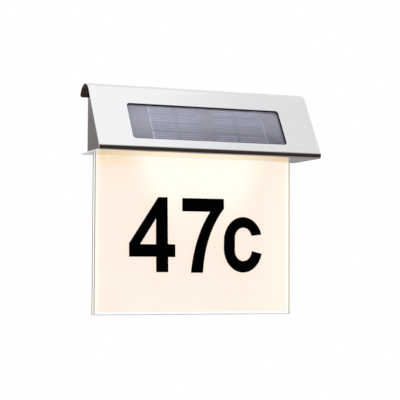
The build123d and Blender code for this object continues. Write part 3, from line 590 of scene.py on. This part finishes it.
def glowing_film():
    material, tree, shader = new_material(
        "white_diffuse_film", Roughness=0.8, Emission_Strength=FILM_GLOW, Base_Color=srgb("8f8a84")
    )
    place = add(tree, "SeparateXYZ", {0: position_mm(tree)}).outputs
    depth = add(tree, "Math", {0: film_high[2] / MM, 1: place["Z"]}, operation="SUBTRACT")
    pool, dull = pool_and_corners(tree, place["X"], depth)
    rims = white_rims(tree, place["X"])
    coats = (pool, srgb("fffff2")), (dull, srgb("f8e4c4")), (rims, srgb("fffcee"))
    plug(shader, {"Emission Color": paint(tree, srgb("ffeadc"), *coats)})
    return material


film.data.materials.append(glowing_film())
print("film's glow:", FILM_GLOW)

# %% [markdown]
# ## The figures: cut vinyl
# The number is cut from black adhesive vinyl, 0.1 mm thick, in a plain bold grotesque. Outlines are
# written in millimetres from the plate's middle line and the figures' foot line. Straight strokes are
# corners; round strokes come from two formulas, a stretch of an oval and a bow with one control point.

# %% Outlines of the figures
FOOT_Z_MM = -131.0


def oval(centre, radii, straight, start, end, steps=28):
    """Points between two angles on two half ellipses, whose sides are straight so far up and down."""
    points = []
    for i in range(steps + 1):
        turn = radians(start + (end - start) * i / steps)
        rise = copysign(straight, sin(turn)) + (radii[1] - straight) * sin(turn)
        points.append((centre[0] + radii[0] * cos(turn), centre[1] + rise))
    return points


def bow(start, control, end, steps=14):
    """Points along a curve from start to end that leans towards control."""
    points = []
    for i in range(steps + 1):
        t = i / steps
        weights = ((1 - t) ** 2, 2 * t * (1 - t), t**2)
        points.append(tuple(sum(w * p[k] for w, p in zip(weights, (start, control, end))) for k in (0, 1)))
    return points


four = [
    [(-34.9, 65.6), (-26.2, 65.6), (-25.6, 24.6), (-18.7, 24.4), (-18.6, 13.3), (-25.3, 13.3),
     (-25.1, 0.0), (-36.4, 0.0), (-36.6, 13.4), (-61.4, 13.3), (-61.6, 24.9)],
    [(-36.9, 46.8), (-51.3, 24.3), (-36.8, 24.3)],
]
seven = [
    [(-12.4, 65.3), (27.3, 65.5)]
    + bow((27.6, 56.9), (9.5, 34.0), (7.6, -0.3))
    + bow((-3.9, -0.3), (-0.6, 32.0), (14.2, 53.7))
    + [(-12.4, 53.6)]
]
letter_c = [
    oval((46.2, 24.9), (18.8, 24.9), 3.0, 16.7, 347.3)
    + oval((46.4, 25.3), (8.2, 14.9), 5.5, 357.6, 13.5)
]
print("figure height in mm:", max(z for x, z in seven[0]))

# %% [markdown]
# Each outline becomes a closed 2D curve, which Blender fills and gives a thickness; a hole is simply a
# second loop. A tiny bevel takes the sharpness off the cut edge. The curve lies in its own XY plane and is
# turned upright, then set a hundredth of a millimetre, its glue, in front of the plate.

# %% Figures on the plate
VINYL_MM = 0.10
VINYL_BEVEL_MM = 0.02
GLUE_MM = 0.01


def cut_figure(name, loops):
    curve = bpy.data.curves.new(name, "CURVE")
    curve.dimensions = "2D"
    curve.fill_mode = "BOTH"
    curve.extrude = (VINYL_MM / 2 - VINYL_BEVEL_MM) * MM
    curve.bevel_depth = VINYL_BEVEL_MM * MM
    curve.bevel_resolution = 1
    for loop in loops:
        spline = curve.splines.new("POLY")
        spline.points.add(len(loop) - 1)
        spline.use_cyclic_u = True
        for point, (x, z) in zip(spline.points, loop):
            point.co = (x * MM, z * MM, 0.0, 1.0)
    drawn = bpy.data.objects.new(name + "_outline", curve)
    scene.collection.objects.link(drawn)
    bpy.context.view_layer.update()
    mesh = bpy.data.meshes.new_from_object(drawn)
    bpy.data.objects.remove(drawn)
    mesh.transform(Matrix.Rotation(pi / 2, 4, "X"))
    middle = plate_low[1] - (VINYL_MM / 2 + GLUE_MM) * MM
    mesh.transform(Matrix.Translation((0.0, middle, FOOT_Z_MM * MM)))
    figure = bpy.data.objects.new(name, mesh)
    scene.collection.objects.link(figure)
    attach(figure, "light")
    return figure


figures = [cut_figure("figure_4", four), cut_figure("figure_7", seven), cut_figure("figure_c", letter_c)]
print("figures:", [f.name for f in figures])

# %% [markdown]
# The vinyl is a deep matt black that shows no sheen against the lit film, so its specular level is 0. The
# unevenness of its surface is finer than this picture can show, so it is drawn at 1.5 mm.

# %% Vinyl finish
PEEL_MM = 1.5
PEEL_DEPTH_MM = 0.02


def black_vinyl():
    material, tree, shader = new_material(
        "cut_vinyl_black", Roughness=0.8, IOR=1.53, Specular_IOR_Level=0.0
    )
    peel = add(tree, "TexNoise", {"Vector": position_mm(tree), "Scale": 1 / PEEL_MM, "Detail": 2.0})
    tone = paint(tree, srgb("010101"), (peel, srgb("030303")))
    bump = add(tree, "Bump", {"Height": peel, "Strength": 0.1, "Distance": PEEL_DEPTH_MM * MM})
    plug(shader, {"Base Color": tone, "Normal": bump})
    return material


vinyl = black_vinyl()
for figure in figures:
    figure.data.materials.append(vinyl)
print("vinyl thickness in mm:", VINYL_MM)

# %% [markdown]
# ## The solar module
# Eight strips of amorphous silicon lie in four rows, left and right of a plain middle, in a grey
# lacquered board and under a clear cast layer. Silver paste fingers, four to a strip, run along it and
# are broken near its middle. Of the two thin busbars, the left one is on the strips and the right one
# beside them on the board. The pattern is worked out along the slope of the hood, so that its lines keep
# their spacing on the tilted module.
#
# The module is painted lighter towards its upper left, where more light falls: painted light. All its
# finishes use the same drift: 0 at the lower right corner of the window and 1 towards the upper left one.

# %% Stripes and painted light
LIGHT_DRIFT_ALONG = -0.0032
LIGHT_DRIFT_RISE = 0.027
LIGHT_DRIFT_MIDDLE = 0.66


def stripe(tree, value, pitch, width):
    """1 on a stripe, 0 between stripes; the width is a share of the pitch."""
    turn = add(tree, "Math", {0: value, 1: pitch}, operation="FLOORED_MODULO")
    return add(tree, "Math", {0: turn, 1: pitch * width}, operation="LESS_THAN")


def painted_light(tree, along, rise):
    """0 to 1 from the window's lower right to its upper left: how much light is painted on."""
    sideways = {0: along, 1: LIGHT_DRIFT_ALONG, 2: LIGHT_DRIFT_MIDDLE}
    sideways = add(tree, "Math", sideways, operation="MULTIPLY_ADD")
    both = add(tree, "Math", {0: rise, 1: LIGHT_DRIFT_RISE, 2: sideways}, operation="MULTIPLY_ADD")
    return add(tree, "Clamp", {"Value": both})


print("bleached at the window's middle:", LIGHT_DRIFT_MIDDLE)

# %% [markdown]
# Silver is a metal and mirrors the sky; the silicon doesn't. Too little of the sky's light finds its way
# through the clear layer and back, so the fingers and busbars are also given a painted glint that glows on
# its own; the fingers' glint follows the painted light.

# %% Silicon strips
ROWS = 4
ROW_GAP_MM = 0.8
FINGERS_PER_ROW = 4
FINGER_WIDTH = 0.30
FINGER_COVER = 0.85
FINGER_GLINT = 0.22
COLUMN_SPLIT_MM = 27.6
SPLIT_HALF_MM = 1.3
LEFT_BUSBAR_MM = -51.4
RIGHT_BUSBAR_MM = 54.2
BUSBAR_HALF_MM = 0.35
BUSBAR_GLINT = 0.10
ETCHED_WIDTH = 0.14
ETCHED_COVER = 0.5
STRIP_CLOUD_MM = 9.0
STRIP_CLOUD_COVER = 0.25
row_pitch_mm = (slope_length_mm + ROW_GAP_MM) / ROWS
finger_pitch_mm = row_pitch_mm / FINGERS_PER_ROW


def silver_lines(tree, along, from_foot):
    """The fingers with the left busbar, and that busbar alone."""
    finger = stripe(tree, from_foot, finger_pitch_mm, FINGER_WIDTH)
    aside = add(tree, "Math", {0: along}, operation="ABSOLUTE")
    split = add(tree, "Math", {0: aside, 1: COLUMN_SPLIT_MM, 2: SPLIT_HALF_MM}, operation="COMPARE")
    drawn = add(tree, "Math", {0: finger, 1: split}, operation="SUBTRACT", use_clamp=True)
    silver = add(tree, "Math", {0: drawn, 1: FINGER_COVER}, operation="MULTIPLY")
    busbar = add(tree, "Math", {0: along, 1: LEFT_BUSBAR_MM, 2: BUSBAR_HALF_MM}, operation="COMPARE")
    silver = add(tree, "Math", {0: silver, 1: busbar}, operation="MAXIMUM")
    return silver, busbar


def silicon():
    material, tree, shader = new_material("amorphous_silicon", Roughness=0.35, IOR=1.5)
    along, rise = slope_place(tree)
    pale = painted_light(tree, along, rise)
    from_foot = add(tree, "Math", {0: rise, 1: slope_length_mm / 2}, operation="ADD")
    silver, busbar = silver_lines(tree, along, from_foot)
    # each strip's lower edge is etched clear and looks darker
    etched = stripe(tree, from_foot, row_pitch_mm, ETCHED_WIDTH)
    etched = add(tree, "Math", {0: etched, 1: ETCHED_COVER}, operation="MULTIPLY")
    cloud = {"Vector": position_mm(tree), "Scale": 1 / STRIP_CLOUD_MM, "Detail": 2.0}
    cloud = add(tree, "Math", {0: add(tree, "TexNoise", cloud), 1: STRIP_CLOUD_COVER}, operation="MULTIPLY")
    tone = paint(
        tree, srgb("82829a"),
        # painted light: lighter towards the upper left
        (pale, srgb("e2e4f4")),
        (cloud, srgb("b4b4cc")),
        (silver, srgb("fafaff")),
        (etched, srgb("80809a")),
    )
    # painted glint on the silver, strongest where the painted light is
    glint = add(tree, "Math", {0: silver, 1: pale}, operation="MULTIPLY")
    glint = add(tree, "Math", {0: glint, 1: FINGER_GLINT}, operation="MULTIPLY")
    glint = add(tree, "Math", {0: busbar, 1: BUSBAR_GLINT, 2: glint}, operation="MULTIPLY_ADD")
    plug(shader, {"Base Color": tone, "Metallic": silver, "Emission Strength": glint})
    return material


dress(silicon(), "solar_cells")
print("fingers up the block:", ROWS * FINGERS_PER_ROW, "at a pitch in mm of", round(finger_pitch_mm, 2))

# %% Board behind the strips
BOARD_CLOUD_MM = 14.0
BOARD_CLOUD_COVER = 0.2


def module_grey():
    material, tree, shader = new_material("grey_lacquered_board", Roughness=0.5, IOR=1.5)
    along, rise = slope_place(tree)
    cloud = {"Vector": position_mm(tree), "Scale": 1 / BOARD_CLOUD_MM, "Detail": 2.0}
    cloud = add(tree, "Math", {0: add(tree, "TexNoise", cloud), 1: BOARD_CLOUD_COVER}, operation="MULTIPLY")
    busbar = add(tree, "Math", {0: along, 1: RIGHT_BUSBAR_MM, 2: BUSBAR_HALF_MM}, operation="COMPARE")
    tone = paint(
        tree, srgb("8c8c9a"),
        # painted light: lighter towards the upper left
        (painted_light(tree, along, rise), srgb("f8f8ff")),
        (cloud, srgb("c4c4d2")),
        (busbar, srgb("f0f1f8")),
    )
    # painted glint on the busbar
    glint = add(tree, "Math", {0: busbar, 1: BUSBAR_GLINT}, operation="MULTIPLY")
    plug(shader, {"Base Color": tone, "Emission Strength": glint})
    return material


dress(module_grey(), "module_board")
print("busbars, mm from the window's middle:", LEFT_BUSBAR_MM, RIGHT_BUSBAR_MM)

# %% [markdown]
# The clear layer over the strips is cast epoxy, IOR 1.5. Its outer skin is hazy: part of the light scatters
# there, which lightens the strips and takes the contrast from their lines. The haze is thin at the lower
# right and thickest at the upper left, where it follows the painted light and is painted light itself.

# %% Clear layer
HAZE_LEAST = 0.05
HAZE_MOST = 0.24
HAZE_SKIN_MM = 0.3
EPOXY_CLOUD_MM = 20.0


def clear_epoxy():
    material, tree, shader = new_material("clear_cast_epoxy", IOR=1.5, Roughness=0.12)
    place = position_mm(tree)
    cloud = add(tree, "TexNoise", {"Vector": place, "Scale": 1 / EPOXY_CLOUD_MM, "Detail": 2.0})
    out = add(tree, "VectorMath", {0: place, 1: OUT_OF_SLOPE}, operation="DOT_PRODUCT")
    skin = add(tree, "Math", {0: out, 1: cover_front_mm - HAZE_SKIN_MM}, operation="GREATER_THAN")
    pale = painted_light(tree, *slope_place(tree))
    # the haze grows with the painted light, so that growth is painted light too
    haze = add(tree, "MapRange", {0: pale, 1: 0.0, 2: 1.0, 3: HAZE_LEAST, 4: HAZE_MOST})
    haze = add(tree, "Math", {0: skin, 1: haze}, operation="MULTIPLY")
    clear = add(tree, "Math", {0: 1.0, 1: haze}, operation="SUBTRACT")
    tone = paint(tree, srgb("ebebfd"), (cloud, srgb("f3f3ff")))
    plug(shader, {"Base Color": tone, "Transmission Weight": clear})
    return material


dress(clear_epoxy(), "module_cover")
print("haze from", HAZE_LEAST, "to", HAZE_MOST)

# %% [markdown]
# The gasket round the window is black EPDM rubber, which shows as a thin dark line at the window's edge.
# The seal round the plate's tongue is white silicone rubber. Dust lightens both in patches of 0.8 mm.

# %% Rubber
DUST_MM = 0.8


def rubber(name, colour):
    material, tree, shader = new_material(name, Roughness=0.75, IOR=1.52)
    dust = add(tree, "TexNoise", {"Vector": position_mm(tree), "Scale": 1 / DUST_MM, "Detail": 3.0})
    plug(shader, {"Base Color": paint(tree, srgb(colour), (dust, shade(colour, 1.5, 0.004)))})
    return material


black_seals = ("window_gasket", "cover_gasket", "door_gasket")
dress(rubber("epdm_rubber_black", "141414"), *black_seals)
dress(rubber("silicone_rubber_white", "d8d6d0"), "plate_seal")
print("rubber parts:", black_seals + ("plate_seal",))

# %% [markdown]
# ## Fixings and metal parts
# Screws, washers and nuts are zinc-plated steel, the contacts are nickel-plated spring steel, and the
# cell's can is drawn, plated steel. All are metals; they differ in tint and in how fine their surface is.

# %% Plated metals
ROUGHNESS_SPREAD = 0.06


def plated(name, dull, bright, roughness, grain_mm):
    material, tree, shader = new_material(name, Metallic=1.0)
    grain = add(tree, "TexNoise", {"Vector": position_mm(tree), "Scale": 1 / grain_mm, "Detail": 3.0})
    least, most = roughness - ROUGHNESS_SPREAD, roughness + ROUGHNESS_SPREAD
    spread = add(tree, "MapRange", {0: grain, 1: NOISE_LOW, 2: NOISE_HIGH, 3: least, 4: most})
    tone = paint(tree, srgb(dull), (grain, srgb(bright)))
    plug(shader, {"Base Color": tone, "Roughness": spread})
    return material


zinc = plated("zinc_plated_steel", "b4b6ba", "d6d8da", 0.32, 1.2)
nickel = plated("nickel_plated_spring_steel", "bcb6a8", "dcd8cc", 0.24, 1.5)
can = plated("drawn_plated_can", "c0c0bc", "e2e2de", 0.22, 3.0)
dress(
    zinc, "hood_washers", "hood_nuts", "plate_washers", "plate_screws",
    "led_board_screws", "cover_screws", "door_screws", "control_board_screws",
)
dress(nickel, "positive_contact", "negative_contact", "switch_terminals")
dress(can, "battery_cell", "board_capacitors")
print("plated finishes:", zinc.name, nickel.name, can.name)

# %% [markdown]
# ## Inside the housing
# The cell's sleeve is shrunk PVC film, the leads are PVC-covered, the switch is moulded nylon and the
# chip is filled epoxy: glossy to matt plastics that one function can make from a colour, a roughness and
# the size of the mottling in millimetres.

# %% Plastics inside
def plain_plastic(name, colour, roughness, mottle_mm):
    material, tree, shader = new_material(name, Roughness=roughness, IOR=1.52)
    mottle = add(tree, "TexNoise", {"Vector": position_mm(tree), "Scale": 1 / mottle_mm, "Detail": 2.0})
    plug(shader, {"Base Color": paint(tree, srgb(colour), (mottle, shade(colour, 1.25, 0.003)))})
    return material


red_leads = ("solar_lead_red", "led_lead_red", "battery_lead_red", "switch_lead")
black_leads = ("solar_lead_black", "led_lead_black", "battery_lead_black")
dress(plain_plastic("shrunk_pvc_green", "2f6d48", 0.25, 6.0), "battery_sleeve")
dress(plain_plastic("nylon_black", "101010", 0.45, 1.0), "switch_body", "switch_slider")
dress(plain_plastic("filled_epoxy_black", "17171a", 0.6, 0.5), "controller_chip")
dress(plain_plastic("pvc_lead_red", "a81f1c", 0.4, 2.0), *red_leads)
dress(plain_plastic("pvc_lead_black", "161616", 0.4, 2.0), *black_leads)
print("leads inside:", len(red_leads + black_leads))

# %% [markdown]
# The boards are glass fibre under solder lacquer, with a faint weave and copper tracks that show through.
# The tracks are drawn as the joints of a brick pattern, whose bricks are 2 mm by 1 mm, and the weave at
# 0.6 mm. The choke is wound from lacquered copper wire, whose turns show as fine bands. A lamp is a white
# package whose phosphor glows.

# %% Boards, coil and lamps
BRICK_LENGTH_MM = 2.0
TRACK_SHARE = 0.06
WEAVE_MM = 0.6
WEAVE_COVER = 0.15
TURN_MM = pi / 12
SPECK_MM = 0.4
LAMP_GLOW = 2.0


def circuit_board(name, colour, copper):
    material, tree, shader = new_material(name, Roughness=0.3, IOR=1.55)
    place = position_mm(tree)
    # a brick texture's bricks are half its scale long and a quarter of it high
    tracks = {"Vector": place, "Scale": 0.5 / BRICK_LENGTH_MM, "Mortar Size": TRACK_SHARE}
    tracks |= {"Color1": srgb(colour), "Color2": srgb(colour), "Mortar": srgb(copper)}
    weave = add(tree, "TexNoise", {"Vector": place, "Scale": 1 / WEAVE_MM})
    tone = paint(tree, add(tree, "TexBrick", tracks), (WEAVE_COVER, weave))
    plug(shader, {"Base Color": tone})
    return material


def wound_copper():
    material, tree, shader = new_material("lacquered_copper", Metallic=1.0, Roughness=0.3)
    turns = {"Vector": position_mm(tree), "Scale": pi / 10 / TURN_MM}
    turns = add(tree, "TexWave", turns, bands_direction="Y").outputs["Fac"]
    plug(shader, {"Base Color": paint(tree, srgb("5a2c14"), (turns, srgb("b8683a")))})
    return material


def led_package():
    material, tree, shader = new_material(
        "led_phosphor", Roughness=0.5, IOR=1.5, Emission_Strength=LAMP_GLOW, Emission_Color=srgb("fff4e0")
    )
    speck = add(tree, "TexNoise", {"Vector": position_mm(tree), "Scale": 1 / SPECK_MM})
    plug(shader, {"Base Color": paint(tree, srgb("f0d890"), (speck, srgb("faf0d0")))})
    return material


dress(circuit_board("solder_lacquer_green", "1c5a34", "2c7a48"), "control_board")
dress(circuit_board("solder_lacquer_white", "dcdcd6", "c8c8c0"), "led_board")
dress(wound_copper(), "choke_coil")
dress(led_package(), "leds")
print("turns of the coil, mm apart:", round(TURN_MM, 2))

# %% [markdown]
# ## Stage and light
# The backdrop is a white world: white to the camera and in what metal and acrylic show, and softer for
# everything it lights. A soft box overhead, a little to the left, gives the slope its brightness, and one
# at the left lights the end of the housing. A pale floor lies well below the light.

# %% World
WORLD_FILL = 0.75
world = bpy.data.worlds.new("white_room")
world.use_nodes = True
scene.world = world
sky = world.node_tree
sky.nodes.clear()
path = add(sky, "LightPath").outputs
seen = add(sky, "Math", {0: path["Is Camera Ray"], 1: path["Is Glossy Ray"]}, operation="MAXIMUM")
seen = add(sky, "Math", {0: seen, 1: path["Is Transmission Ray"]}, operation="MAXIMUM")
strength = add(sky, "MapRange", {0: seen, 1: 0.0, 2: 1.0, 3: WORLD_FILL, 4: 1.0})
backdrop = add(sky, "Background", {"Color": (1.0, 1.0, 1.0, 1.0), "Strength": strength})
add(sky, "OutputWorld", {"Surface": backdrop})
print("world fill for matt surfaces:", WORLD_FILL)

# %% Soft boxes
def soft_box(name, place, aim, size, power):
    lamp = bpy.data.lights.new(name, "AREA")
    lamp.shape = "RECTANGLE"
    lamp.size, lamp.size_y = size
    lamp.energy = power
    box = bpy.data.objects.new(name, lamp)
    scene.collection.objects.link(box)
    box.location = place
    box.rotation_euler = (Vector(place) - Vector(aim)).to_track_quat("Z", "Y").to_euler()
    return box


soft_boxes = [
    soft_box("soft_box_top", place=(-0.15, -0.25, 1.1), aim=(-0.15, -0.25, 0.0), size=(1.2, 1.4), power=1.3),
    soft_box("soft_box_left", place=(-1.1, -0.7, 0.1), aim=(0.0, 0.0, -0.05), size=(1.4, 1.4), power=1.2),
]
print("soft boxes:", len(soft_boxes))

# %% Floor
# in metres
FLOOR_BELOW = 1.0
FLOOR_HALF = 2.5
FLOOR_THICK = 0.01
SPECKLES_ACROSS = 30.0


def box_mesh(name, low, high):
    """A closed box between two corners, with its faces pointing outwards."""
    xs, ys, zs = zip(low, high)
    corners = [(x, y, z) for x in xs for y in ys for z in zs]
    faces = [(0, 1, 3, 2), (4, 6, 7, 5), (0, 4, 5, 1), (2, 3, 7, 6), (0, 2, 6, 4), (1, 5, 7, 3)]
    return mesh_object(name, corners, faces)


floor_z = solid_box[0][2] - FLOOR_BELOW
floor_low = (-FLOOR_HALF, -FLOOR_HALF, floor_z - FLOOR_THICK)
floor = box_mesh("floor", floor_low, (FLOOR_HALF, FLOOR_HALF, floor_z))
floor_finish, floor_tree, floor_shader = new_material("pale_floor_paint", Roughness=0.8)
speckle = add(floor_tree, "TexNoise", {"Scale": SPECKLES_ACROSS})
plug(floor_shader, {"Base Color": paint(floor_tree, srgb("f0f0ee"), (speckle, srgb("f6f6f4")))})
floor.data.materials.append(floor_finish)
print("floor is", FLOOR_BELOW, "m below the light")

# %% [markdown]
# The hood is a mirror, so what it shows needs something to be there. Two lit cards do that, and only
# mirrors see them. A warm one just in front of the plate's top is the plate's own glow, as the hood's
# underside mirrors it; it dims towards both ends. A grey one stands for the wall below the hood, which
# is darker towards the right.

# %% Cards for the mirrors
def glow_card(name, low, high, strength, turns, first, second, both_ways=False):
    """A lit card that only mirrors see; its colour drifts from first to second between two places."""
    card = box_mesh(name, low, high)
    finish, tree, shader = new_material(
        name + "_light", Base_Color=srgb("000000"), Specular_IOR_Level=0.0, Emission_Strength=strength
    )
    across = add(tree, "SeparateXYZ", {0: position_mm(tree)}).outputs["X"]
    if both_ways:
        across = add(tree, "Math", {0: across}, operation="ABSOLUTE")
    drift = add(tree, "MapRange", {0: across, 1: turns[0], 2: turns[1]})
    plug(shader, {"Emission Color": paint(tree, srgb(first), (drift, srgb(second)))})
    card.data.materials.append(finish)
    card.visible_camera = False
    card.visible_diffuse = False
    card.visible_transmission = False
    card.visible_shadow = False
    return card


WARM_GAP_MM = 1.0
WARM_HEIGHT_MM = 14.0
WALL_GAP_MM = 0.5
# the wall's own card is in metres
WALL_HALF = 0.6
WALL_HEIGHT = 0.3
WALL_DEPTHS = (0.05, 0.06)
warm_card = glow_card(
    "warm_card",
    (film_low[0], plate_low[1] - 2 * WARM_GAP_MM * MM, film_high[2] - WARM_HEIGHT_MM * MM),
    (film_high[0], plate_low[1] - WARM_GAP_MM * MM, film_high[2]),
    strength=1.24, turns=(35.0, 80.0), first="ffecd0", second="e8cca6", both_ways=True,
)
grey_card = glow_card(
    "grey_card",
    (-WALL_HALF, WALL_DEPTHS[0], hood_low[2] - WALL_HEIGHT),
    (WALL_HALF, WALL_DEPTHS[1], hood_low[2] - WALL_GAP_MM * MM),
    strength=0.62, turns=(-20.0, 60.0), first="ffffff", second="c2c1be",
)
print("cards that only mirrors see:", warm_card.name, grey_card.name)

# %% Render settings that belong to the look
scene.view_settings.view_transform = "Standard"
print("view transform:", scene.view_settings.view_transform)
